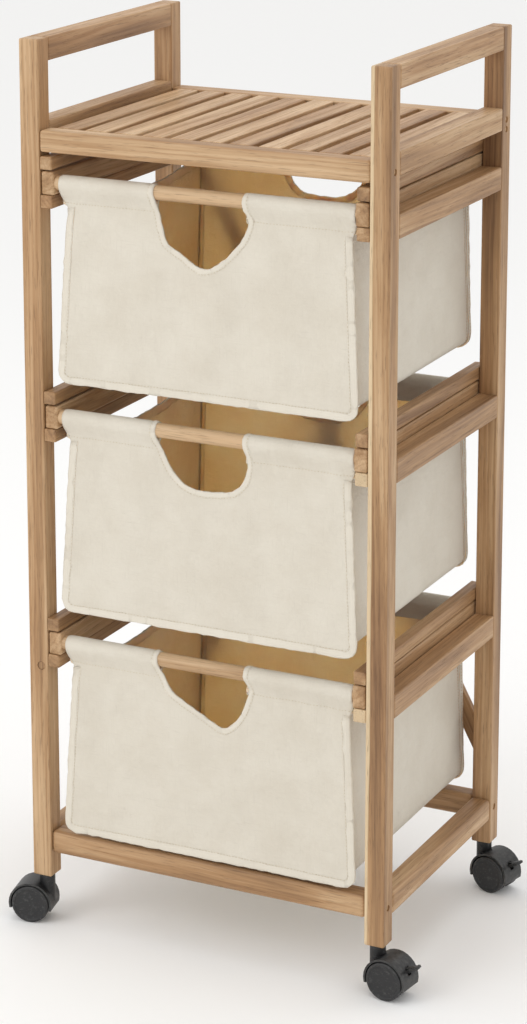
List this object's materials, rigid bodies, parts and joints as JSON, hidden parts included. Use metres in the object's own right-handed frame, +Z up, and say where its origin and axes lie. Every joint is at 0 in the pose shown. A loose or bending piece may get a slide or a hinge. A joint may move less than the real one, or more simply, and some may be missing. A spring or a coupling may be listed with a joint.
{
  "type": "laundry sorter on wheels",
  "caption": "Tall narrow hardwood trolley with a slatted shelf, raised side handles, pull-out cloth bags hung on dowels, a crossed back brace and swivel castors.",
  "frame": {"origin": "on the floor below the middle of the frame", "axes": "+Z up, +X to the right, and the bags pull out towards -Y, the front"},
  "size_m": [0.4897, 0.3399, 0.98],
  "materials": {
    "frame_wood": "oiled satin hardwood",
    "dowel_wood": "satin turned dowel",
    "canvas": "unbleached cotton canvas",
    "black_plastic": "moulded black nylon"
  },
  "bodies": {
    "root": {"post_front_left": "frame_wood", "post_front_right": "frame_wood", "post_back_left": "frame_wood", "post_back_right": "frame_wood", "handle_rail_left": "frame_wood", "shelf_side_rail_left": "frame_wood", "bottom_side_rail_left": "frame_wood", "side_rail_top_left": "frame_wood", "side_rail_middle_left": "frame_wood", "side_rail_bottom_left": "frame_wood", "runner_upper_top_left": "frame_wood", "runner_upper_middle_left": "frame_wood", "runner_upper_bottom_left": "frame_wood", "runner_lower_top_left": "frame_wood", "runner_lower_middle_left": "frame_wood", "runner_lower_bottom_left": "frame_wood", "handle_rail_right": "frame_wood", "shelf_side_rail_right": "frame_wood", "bottom_side_rail_right": "frame_wood", "side_rail_top_right": "frame_wood", "side_rail_middle_right": "frame_wood", "side_rail_bottom_right": "frame_wood", "runner_upper_top_right": "frame_wood", "runner_upper_middle_right": "frame_wood", "runner_upper_bottom_right": "frame_wood", "runner_lower_top_right": "frame_wood", "runner_lower_middle_right": "frame_wood", "runner_lower_bottom_right": "frame_wood", "shelf_front_rail": "frame_wood", "shelf_back_rail": "frame_wood", "bottom_front_rail": "frame_wood", "bottom_back_rail": "frame_wood", "shelf_slats": "frame_wood", "back_brace_rising": "frame_wood", "back_brace_falling": "frame_wood"},
    "top_drawer": {"top_drawer_bar_left": "frame_wood", "top_drawer_bar_right": "frame_wood", "top_drawer_dowel_front": "dowel_wood", "top_drawer_dowel_back": "dowel_wood", "top_bag": "canvas"},
    "middle_drawer": {"middle_drawer_bar_left": "frame_wood", "middle_drawer_bar_right": "frame_wood", "middle_drawer_dowel_front": "dowel_wood", "middle_drawer_dowel_back": "dowel_wood", "middle_bag": "canvas"},
    "bottom_drawer": {"bottom_drawer_bar_left": "frame_wood", "bottom_drawer_bar_right": "frame_wood", "bottom_drawer_dowel_front": "dowel_wood", "bottom_drawer_dowel_back": "dowel_wood", "bottom_bag": "canvas"},
    "castor_front_left": {"castor_housing_front_left": "black_plastic"},
    "wheels_front_left": {"castor_wheels_front_left": "black_plastic"},
    "castor_front_right": {"castor_housing_front_right": "black_plastic"},
    "wheels_front_right": {"castor_wheels_front_right": "black_plastic"},
    "brake_front_right": {"brake_lever_front_right": "black_plastic"},
    "castor_back_left": {"castor_housing_back_left": "black_plastic"},
    "wheels_back_left": {"castor_wheels_back_left": "black_plastic"},
    "castor_back_right": {"castor_housing_back_right": "black_plastic"},
    "wheels_back_right": {"castor_wheels_back_right": "black_plastic"},
    "brake_back_right": {"brake_lever_back_right": "black_plastic"}
  },
  "joints": [
    {"name": "top_drawer_slide", "type": "slide", "parent": "root", "child": "top_drawer", "axis": [0, -1, 0], "range_m": [0, 0.24]},
    {"name": "middle_drawer_slide", "type": "slide", "parent": "root", "child": "middle_drawer", "axis": [0, -1, 0], "range_m": [0, 0.24]},
    {"name": "bottom_drawer_slide", "type": "slide", "parent": "root", "child": "bottom_drawer", "axis": [0, -1, 0], "range_m": [0, 0.24]},
    {"name": "castor_swivel_front_left", "type": "hinge", "parent": "root", "child": "castor_front_left", "pos_m": [-0.19875, -0.14675, 0.055], "axis": [0, 0, 1], "continuous": true},
    {"name": "wheel_spin_front_left", "type": "hinge", "parent": "castor_front_left", "child": "wheels_front_left", "pos_m": [-0.2144, -0.15008, 0.021], "axis": [0.2079, -0.9781, 0], "continuous": true},
    {"name": "castor_swivel_front_right", "type": "hinge", "parent": "root", "child": "castor_front_right", "pos_m": [0.19875, -0.14675, 0.055], "axis": [0, 0, 1], "continuous": true},
    {"name": "wheel_spin_front_right", "type": "hinge", "parent": "castor_front_right", "child": "wheels_front_right", "pos_m": [0.21463, -0.1487, 0.021], "axis": [0.1219, 0.9925, 0], "continuous": true},
    {"name": "brake_lever_front_right", "type": "hinge", "parent": "castor_front_right", "child": "brake_front_right", "pos_m": [0.23002, -0.15059, 0.03146], "axis": [0.1219, 0.9925, 0], "range_deg": [0, 18]},
    {"name": "castor_swivel_back_left", "type": "hinge", "parent": "root", "child": "castor_back_left", "pos_m": [-0.19875, 0.14675, 0.055], "axis": [0, 0, 1], "continuous": true},
    {"name": "wheel_spin_back_left", "type": "hinge", "parent": "castor_back_left", "child": "wheels_back_left", "pos_m": [-0.21451, 0.14953, 0.021], "axis": [-0.1736, -0.9848, 0], "continuous": true},
    {"name": "castor_swivel_back_right", "type": "hinge", "parent": "root", "child": "castor_back_right", "pos_m": [0.19875, 0.14675, 0.055], "axis": [0, 0, 1], "continuous": true},
    {"name": "wheel_spin_back_right", "type": "hinge", "parent": "castor_back_right", "child": "wheels_back_right", "pos_m": [0.21434, 0.14315, 0.021], "axis": [0.225, 0.9744, 0], "continuous": true},
    {"name": "brake_lever_back_right", "type": "hinge", "parent": "castor_back_right", "child": "brake_back_right", "pos_m": [0.22945, 0.13966, 0.03146], "axis": [0.225, 0.9744, 0], "range_deg": [0, 18]}
  ]
}
